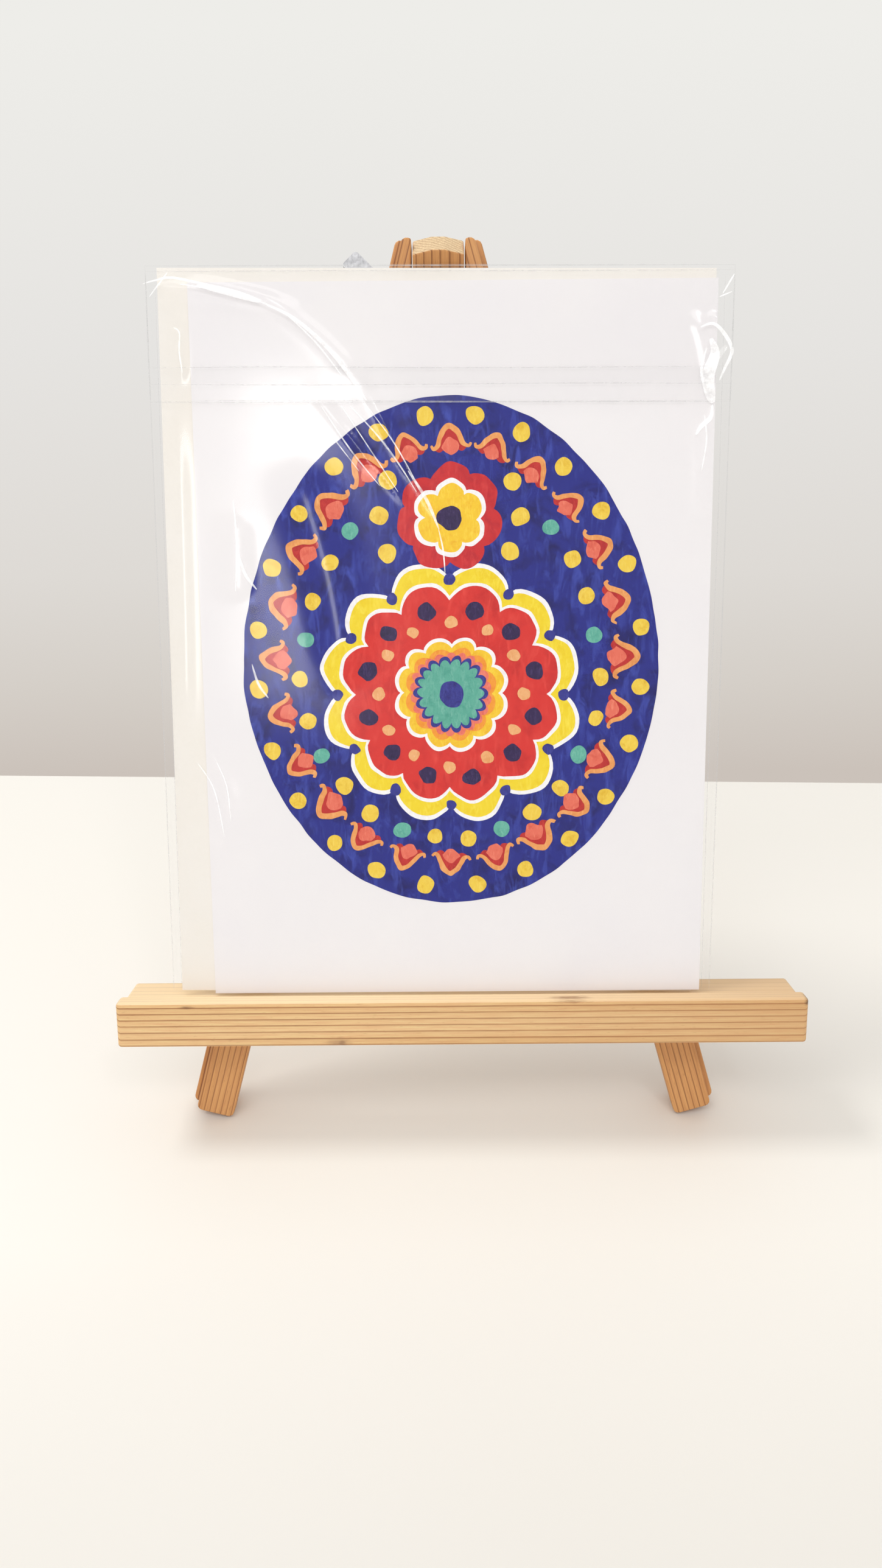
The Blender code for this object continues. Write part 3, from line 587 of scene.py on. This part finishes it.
# Folds as (start, end, width, height, bend), in card millimetres: from its centre line and lower edge.
FLAP_FOLDS = [
    ((-76, 175), (-36, 170.5), 1.5, 0.42, 1.6),
    ((-66, 177.5), (-40, 172.0), 0.9, 0.30, 0.9),
    ((-50, 174.5), (-20, 149.5), 1.7, 0.28, 3.0),
    ((-44, 173.5), (-24, 153), 3.4, 0.25, 2.0),
    ((-66, 172), (-67, 152), 1.2, 0.35, 0.3),
    ((56, 171), (61, 150), 2.2, 0.60, 1.5),
    ((60, 170), (67, 162), 1.0, 0.45, 0.5),
    ((67, 163), (60, 152), 1.0, 0.40, -0.8),
    ((62, 158), (63, 149), 0.9, 0.35, 0.0),
]
FRONT_FOLDS = [
    ((-24, 156), (-10, 129), 1.0, 0.32, 0.4),
    ((-20, 147), (-3, 119), 0.8, 0.26, 0.2),
    ((-37, 154), (-19, 131), 1.0, 0.30, 0.4),
    ((-30, 146), (-11, 123), 0.8, 0.26, 0.3),
    ((-55, 124), (-55, 100), 3.4, 0.45, 0.5),
    ((-42, 138), (-28, 78), 5.5, 0.80, 3.0),
    ((58, 146), (59, 118), 2.4, 0.50, 1.0),
    ((-68, 150), (-69, 60), 2.0, 0.35, 0.5),
    ((66, 150), (65, 40), 1.6, 0.30, 0.4),
    ((-60, 60), (-52, 12), 2.2, 0.30, 3.0),
    ((-66, 45), (-50, 8), 1.6, 0.24, 2.0),
    ((62, 60), (58, 12), 2.4, 0.25, -1.5),
]
# Whitened fold lines with painted glint streaks along them, as (points, width), in the same millimetres.
FLAP_CREASES_AND_GLINTS = [
    ([(-75.0, 176.4), (-72, 177.2), (-67.9, 177.8), (-60, 176.2), (-52, 174.4), (-45.6, 172.0)], 0.55),
    ([(-66, 176.3), (-57, 174.9), (-50, 173.2), (-45.2, 171.6)], 0.5),
    ([(-62, 176.0), (-53, 174.0), (-47, 172.2)], 1.5),
    ([(-73.5, 173.5), (-71.0, 176.5), (-69.0, 179.0)], 0.35),
    ([(-47, 172.2), (-39, 168.4), (-31, 161.5), (-25, 154.0), (-22, 149.6)], 0.9),
    ([(-42, 170.5), (-34, 163.0), (-28, 155.5)], 0.4),
    ([(-68, 166.5), (-66.6, 165.2), (-66.8, 161.0), (-66.2, 156)], 0.4),
    ([(60.8, 163.6), (61.9, 160.2), (60.4, 155.2), (61.2, 150.6), (62.0, 148.9)], 2.9),
    ([(58.2, 166.2), (61.5, 167.0), (64.8, 163.7), (66.0, 160.6), (64.5, 157.0), (63.2, 154.0)], 0.9),
    ([(59.8, 161.5), (58.8, 156.5), (59.9, 151.0)], 0.6),
    ([(63.4, 174.0), (66.0, 178.4)], 0.4),
    ([(62.6, 173.2), (65.6, 174.4)], 0.3),
]
FLAP_SEAMS = [
    ([(-74.4, 180.45), (66.2, 180.45)], 0.4),
    ([(-74.3, 149.1), (-74.35, 160), (-74.3, 170), (-74.3, 180.3)], 0.3),
    ([(66.1, 149.1), (66.15, 160), (66.1, 170), (66.1, 180.3)], 0.3),
    ([(-74.3, 149.15), (-30, 149.2), (20, 149.15), (66.1, 149.2)], 0.25),
    ([(-74.0, 149.4), (-40, 149.6), (10, 149.3), (66.0, 149.5)], 0.16),
    ([(-74.0, 157.2), (-44, 157.4), (0, 157.1), (66.0, 157.3)], 0.2),
    ([(-74.0, 153.4), (-30, 153.2), (30, 153.5), (66.0, 153.3)], 0.2),
]
FRONT_CREASES_AND_GLINTS = [
    ([(-26, 148.4), (-19.5, 141.5), (-14.5, 135), (-10, 128)], 0.42),
    ([(-22, 148.4), (-15, 139), (-8, 126.5)], 0.3),
    ([(-33, 148.4), (-26, 138), (-19, 129.5)], 0.38),
    ([(-36, 148.2), (-29.5, 140), (-24, 133)], 0.3),
    ([(-28, 148.2), (-20.5, 137), (-14.5, 128)], 0.3),
    ([(-12, 133), (-7.5, 126), (-4.5, 119)], 0.8),
    ([(-4.6, 119), (-3.5, 114), (-3.0, 108)], 0.4),
    ([(61.8, 148.4), (61.5, 145.5), (59.3, 143.4), (58.0, 141.4)], 1.1),
    ([(60.0, 146), (60.6, 140), (59.6, 133)], 0.4),
    ([(-55, 126), (-54.4, 116), (-55.0, 104)], 0.4),
    ([(-54.0, 113), (-52.4, 108), (-49.8, 104.5)], 0.7),
    ([(-51.5, 86), (-50.0, 81), (-47.6, 77.5)], 0.6),
    ([(-66.0, 61), (-62.0, 54), (-59.8, 42)], 0.3),
    ([(-61.5, 62), (-58.8, 55), (-58.0, 46)], 0.3),
]
FRONT_SEAMS = [
    ([(-74.3, 1.0), (-74.3, 60), (-74.3, 120), (-74.3, 178.5)], 0.32),
    ([(-72.2, 1.5), (-72.0, 60), (-72.3, 120), (-72.1, 178.0)], 0.22),
    ([(66.0, 1.0), (66.1, 60), (66.0, 120), (66.1, 178.5)], 0.32),
    ([(64.0, 1.5), (63.8, 60), (64.1, 120), (63.9, 178.0)], 0.22),
    ([(-74.2, 179.3), (-30, 179.4), (20, 179.3), (66.0, 179.4)], 0.22),
]


def film_push(x, z, low, high, folds, wave, seed):
    """How far a sheet of the sleeve stands off its plane here."""
    card_x = x + CARD_TO_SLEEVE
    push = slow_waves(card_x, z, wave, 17.0, seed)
    for start, end, spread, height, bend in folds:
        push = push + ridge(card_x, z, start, end, spread, height, bend)
    hold = np.clip((z - low) / 4, 0, 1) * np.clip((high - z) / 3, 0, 1)
    side = np.clip((SLEEVE_WIDTH / 2 - np.abs(x)) / 2.5, 0, 1)
    return push * hold * (0.25 + 0.75 * side)


def film_mesh(name, points, faces, material, body):
    mesh = bpy.data.meshes.new(name)
    mesh.from_pydata((points.reshape(-1, 3) * MM).tolist(), [], faces)
    mesh.transform(SLEEVE)
    mesh.shade_smooth()
    mesh.materials.append(material)
    obj = bpy.data.objects.new(name, mesh)
    bpy.context.scene.collection.objects.link(obj)
    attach(obj, body)
    return obj


def film_sheet(name, low, high, front, folds, material, body, wave=0.12, seed=0.0, fine=0.8, sign=-1):
    """A sheet of film as a grid, pushed away from the card by its folds and waves."""
    columns, rows = int(SLEEVE_WIDTH / fine) + 1, int((high - low) / fine) + 1
    half = SLEEVE_WIDTH / 2
    x, z = np.meshgrid(np.linspace(-half, half, columns), np.linspace(low, high, rows))
    y = front + sign * film_push(x, z, low, high, folds, wave, seed)
    faces = []
    for r in range(rows - 1):
        for c in range(columns - 1):
            a = r * columns + c
            faces.append((a, a + 1, a + 1 + columns, a + columns))
    return film_mesh(name, np.stack([x, y, z], axis=-1), faces, material, body)


def film_creases(name, creases, low, high, front, folds, material, body, wave=0.12, seed=0.0):
    """Thin slivers that lie on a sheet along its fold lines, seams and painted glint streaks."""
    points, faces = [], []
    for path, width in creases:
        path = smooth_path([(x - CARD_TO_SLEEVE, z) for x, z in path], 8)
        outline = stroke(path, width, 0.8)
        half = len(path)
        first = len(points)
        points += outline
        for i in range(half - 1):
            a, b = first + i, first + 2 * half - 1 - i
            faces.append((a, a + 1, b - 1, b))
    points = np.array(points)
    x, z = points[:, 0], points[:, 1]
    y = front - 0.04 - film_push(x, z, low, high, folds, wave, seed)
    return film_mesh(name, np.stack([x, y, z], axis=-1), faces, material, body)


def make_sleeve():
    clear = film("clear_film", 0.003, 0.7, 1)
    flap_film = film("clear_flap_film", 0.005, 0.7, 2)
    sticky = film("tacky_strip", 0.004, 0.02, 3)
    # Fold lines are whitened and lit by a painted glint; seams are grey with a fainter glow.
    white_line = crease_with_glint("creased_film_painted_glint", 0.75, 0.97)
    grey_line = crease_with_glint("seam_film", 0.5, 0.55)
    top = SLEEVE_HEIGHT - 1.0
    front = film_sheet("sleeve_front_film", 0, top, 0.02, FRONT_FOLDS, clear, "pack")
    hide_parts("sleeve_front_panel")
    film_creases("sleeve_front_creases_and_glints", FRONT_CREASES_AND_GLINTS, 0, top, 0.02, FRONT_FOLDS, white_line, "pack")
    film_creases("sleeve_front_seams", FRONT_SEAMS, 0, top, 0.01, FRONT_FOLDS, grey_line, "pack")
    rear = film_sheet("sleeve_rear_film", 0, SLEEVE_HEIGHT, 2.04, [], clear, "pack", 0.08, 2.0, 2.0, 1)
    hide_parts("sleeve_rear_panel")
    fold = SLEEVE_HEIGHT + 0.25
    low = SLEEVE_HEIGHT - 31.6
    shape = (low, fold, -0.36, FLAP_FOLDS)
    flap = film_sheet("sleeve_flap_film", *shape, flap_film, "flap", 0.10, 1.0, 0.6)
    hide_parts("sleeve_flap")
    film_creases("sleeve_flap_creases_and_glints", FLAP_CREASES_AND_GLINTS, *shape, white_line, "flap", 0.10, 1.0)
    shape = (low, fold, -0.365, FLAP_FOLDS)
    film_creases("sleeve_flap_seams", FLAP_SEAMS, *shape, grey_line, "flap", 0.10, 1.0)
    glue = film_sheet("flap_glue", fold - 27.3, fold - 23.3, -0.22, [], sticky, "flap", 0.02, 3.0, 1.0)
    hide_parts("adhesive_strip")


# ---------------------------------------------------------------- wood, paper and metal

def make_wood():
    ledge_tones = (srgb(232, 192, 140), srgb(220, 174, 118), srgb(142, 86, 42))
    leg_tones = (srgb(212, 154, 96), srgb(196, 136, 78), srgb(132, 78, 38))
    along = EASEL @ Matrix.Rotation(math.radians(90), 4, "Y")
    marks = [
        ((-32, -62.5, 33.0), (4.5, 3.0, 2.4), srgb(168, 128, 92)),
        ((-31, -62.5, 33.4), (1.6, 2.0, 1.0), srgb(120, 84, 58)),
        ((-71, -60.5, 43.2), (2.6, 3.0, 0.5), srgb(96, 54, 28)),
        ((28, -60.3, 43.9), (7.0, 2.0, 0.5), srgb(132, 84, 46)),
        ((89.2, -60.5, 43.4), (1.4, 3.0, 1.2), srgb(74, 44, 26)),
    ]
    # End grain tones. The rear leg's is a painted highlight: its end looks up, so it is given a pale tone,
    # lighter than the leg.
    lip_end, shelf_end, rear_top_highlight = srgb(206, 156, 102), srgb(200, 150, 96), srgb(236, 210, 164)
    # Both ledge pieces take painted shade that darkens them towards +X.
    lip = wood("lip_pine", along, (26, 20), ledge_tones, 1.1, 0.4, lip_end, marks, True)
    shelf = wood("shelf_pine", along, (-40, 14), ledge_tones, 1.5, 1.4, shelf_end, (), True)
    paint_node("ledge_lip", lip)
    paint_node("ledge_shelf", shelf)
    for side, sign in (("left", -1), ("right", 1)):
        turn = Matrix.Rotation(-sign * SPLAY[side], 4, "Y")
        leg = EASEL @ metres(LEGS_X + sign * 10, 0, 200) @ turn
        front = wood(f"{side}_front_pine", leg, (sign * 30, -22), leg_tones, 1.3, 2 + sign)
        rear = wood(f"{side}_rear_pine", leg, (sign * -34, 26), leg_tones, 1.4, 5 + sign)
        paint_node(f"{side}_leg_front_strip", front)
        paint_node(f"{side}_leg_rear_strip", rear)
    paint_node("rear_leg", wood("rear_pine", REAR, (24, 30), leg_tones, 1.2, 8.0, rear_top_highlight))


def make_paper_and_metal():
    white = paper("white_cardstock", srgb(240, 237, 238), srgb(238, 235, 237), 0.45, 2.6, 1)
    cream = paper("cream_envelope", srgb(241, 237, 231), srgb(239, 234, 226), 0.7, 1.6, 2, 0.00004)
    tones = (srgb(239, 232, 220), srgb(235, 227, 214))
    flap = paper("envelope_flap_paper", *tones, 0.7, 1.6, 3, 0.00004)
    paint_node("greeting_card", white)
    paint_node("envelope_body", cream)
    paint_node("envelope_flap", flap)
    zinc = steel("zinc_plate", (0.37, 0.37, 0.38, 1.0), 1)
    fixings = ("pivot_bolt", "washer_left", "washer_right", "wing_nut")
    for name in (*fixings, "ledge_screw_left", "ledge_screw_right"):
        paint_node(name, zinc)


# ---------------------------------------------------------------- camera, light and floor

def aimed(matrix_from, target):
    return (Vector(matrix_from) - Vector(target)).to_track_quat("Z", "Y").to_euler()


def add_area(name, place, target, width, height, power, colour=(1, 1, 1)):
    data = bpy.data.lights.new(name, "AREA")
    data.shape = "RECTANGLE"
    data.size = width
    data.size_y = height
    data.energy = power
    data.color = colour
    lamp = bpy.data.objects.new(name, data)
    bpy.context.scene.collection.objects.link(lamp)
    lamp.location = place
    lamp.rotation_euler = aimed(place, target)
    return lamp


def add_camera():
    data = bpy.data.cameras.new("Camera")
    cam = bpy.data.objects.new("Camera", data)
    bpy.context.scene.collection.objects.link(cam)
    data.lens = 27.04
    data.sensor_width = 36.0
    data.clip_start = 0.01
    data.clip_end = 20.0
    pitch, yaw, roll = math.radians(11.59), math.radians(-0.12), math.radians(0.49)
    turn = Matrix.Rotation(roll, 3, "Z") @ Matrix.Rotation(pitch, 3, "X") @ Matrix.Rotation(yaw, 3, "Y")
    face = Matrix(((1, 0, 0), (0, 0, -1), (0, 1, 0)))  # (right, up the legs, to the viewer) to easel axes
    world_turn = EASEL.to_3x3() @ face @ turn.transposed()
    place = EASEL @ (Vector((-4.29, -303.15, 127.79)) * MM)
    cam.matrix_world = Matrix.Translation(place) @ world_turn.to_4x4()
    bpy.context.scene.camera = cam


def add_stage():
    s = Shader("pale_floor", Roughness=0.5, Specular_IOR_Level=0.25)
    cloud = s.noise(s.coords(scale=(1, 1, 1)), 3.0, 3.0)
    tone = s.mix(s.ramp(cloud, (0.3, 0.0), (0.7, 1.0)), srgb(240, 237, 231), srgb(238, 235, 228))
    # Painted shade: the floor is darker towards the front, near the viewer.
    depth = s.node("SeparateXYZ", {0: s.coords(scale=(1, 1, 1))}).outputs["Y"]
    near = s.ramp(s.math("ADD", depth, 0.5), (0.28, 0.84), (0.40, 1.0))
    s.colour(s.mix(1.0, tone, near, "MULTIPLY"))
    wall = Shader("pale_wall", Roughness=0.9, Specular_IOR_Level=0.0)
    height = wall.node("SeparateXYZ", {0: wall.coords(scale=(1, 1, 1))}).outputs["Z"]
    height = wall.math("MULTIPLY", wall.math("ADD", height, 0.3), 1.333)
    tones = wall.ramp(
        height,
        (0.0, srgb(203, 194, 186)),
        (0.14, srgb(213, 207, 200)),
        (0.30, srgb(222, 218, 213)),
        (0.60, srgb(230, 228, 225)),
        (0.95, srgb(238, 237, 233)),
    )
    wall.colour((0, 0, 0, 1))
    wall.feed(wall.surface.inputs["Emission Color"], tones)
    wall.surface.inputs["Emission Strength"].default_value = 1.0
    for name, corners, shader in (
        ("Floor", ((-2.5, -1.5, 0), (2.5, -1.5, 0), (2.5, 0.08, 0), (-2.5, 0.29, 0)), s),
        ("Backdrop", ((-2.0, 0.9, -0.9), (2.0, 0.9, -0.9), (2.0, 0.9, 1.2), (-2.0, 0.9, 1.2)), wall),
    ):
        mesh = bpy.data.meshes.new(name)
        mesh.from_pydata(corners, [], [(0, 1, 2, 3)])
        mesh.materials.append(shader.material)
        obj = bpy.data.objects.new(name, mesh)
        bpy.context.scene.collection.objects.link(obj)


def add_light():
    world = bpy.data.worlds.new("Studio")
    bpy.context.scene.world = world
    world.use_nodes = True
    background = world.node_tree.nodes["Background"]
    background.inputs["Color"].default_value = (1.0, 0.99, 0.98, 1)
    background.inputs["Strength"].default_value = 0.72
    target = (0, 0, 0.1)
    add_area("Overhead", (-0.55, -0.02, 1.1), target, 0.34, 0.26, 4.1, (1, 0.985, 0.96))
    add_area("Fill", (-0.25, -1.05, 1.35), target, 1.4, 0.5, 5.4, (1, 0.995, 0.995))
    add_area("Tall_glint", (-0.19, -1.25, 0.52), target, 0.12, 0.40, 1.1)
    add_area("Glint", (0.35, -0.95, 1.1), target, 0.12, 0.12, 0.9)
    view = bpy.context.scene.view_settings
    view.view_transform = "Standard"
    view.exposure = 0.0


make_egg()
make_border()
make_rosette(*make_upper_flower())
make_sleeve()
make_wood()
make_paper_and_metal()
add_stage()
add_camera()
add_light()
